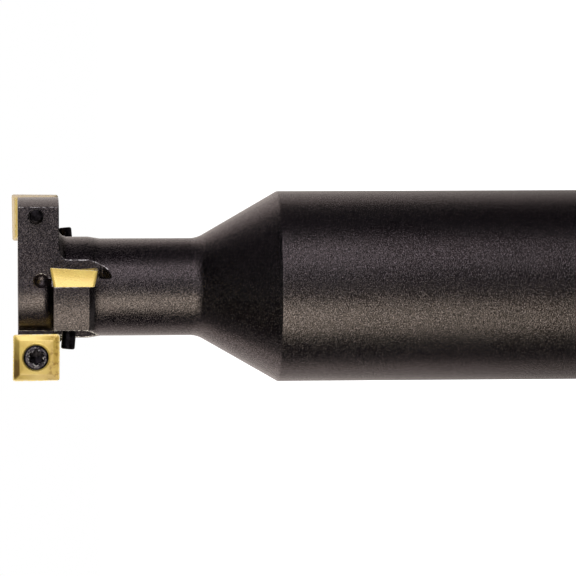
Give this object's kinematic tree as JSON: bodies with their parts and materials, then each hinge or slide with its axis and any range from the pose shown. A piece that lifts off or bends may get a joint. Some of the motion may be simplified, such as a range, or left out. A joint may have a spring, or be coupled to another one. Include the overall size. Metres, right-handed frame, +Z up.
{
  "type": "indexable t-slot cutter",
  "caption": "Right-hand milling cutter for T-slots: square inserts screwed to a narrow-necked head on a plain round shank.",
  "frame": {"origin": "centre of the flat end of the shank", "axes": "+Z up the tool's axis to the cutting head; +X towards the outer edge of insert_front_b; +Y the way that insert_front_b's rake face looks"},
  "size_m": [0.04, 0.04, 0.1255],
  "materials": {
    "black_steel": "black oxide, satin, with a fine blasted grain",
    "coated_carbide": "gold nitride coating, satin",
    "screw_steel": "black oxide, semi-gloss"
  },
  "bodies": {
    "root": {"cutter_body": "black_steel", "insert_front_a": "coated_carbide", "insert_front_b": "coated_carbide", "insert_rear_a": "coated_carbide", "insert_rear_b": "coated_carbide", "insert_screw_front_a": "screw_steel", "insert_screw_front_b": "screw_steel", "insert_screw_rear_a": "screw_steel", "insert_screw_rear_b": "screw_steel"}
  },
  "joints": []
}
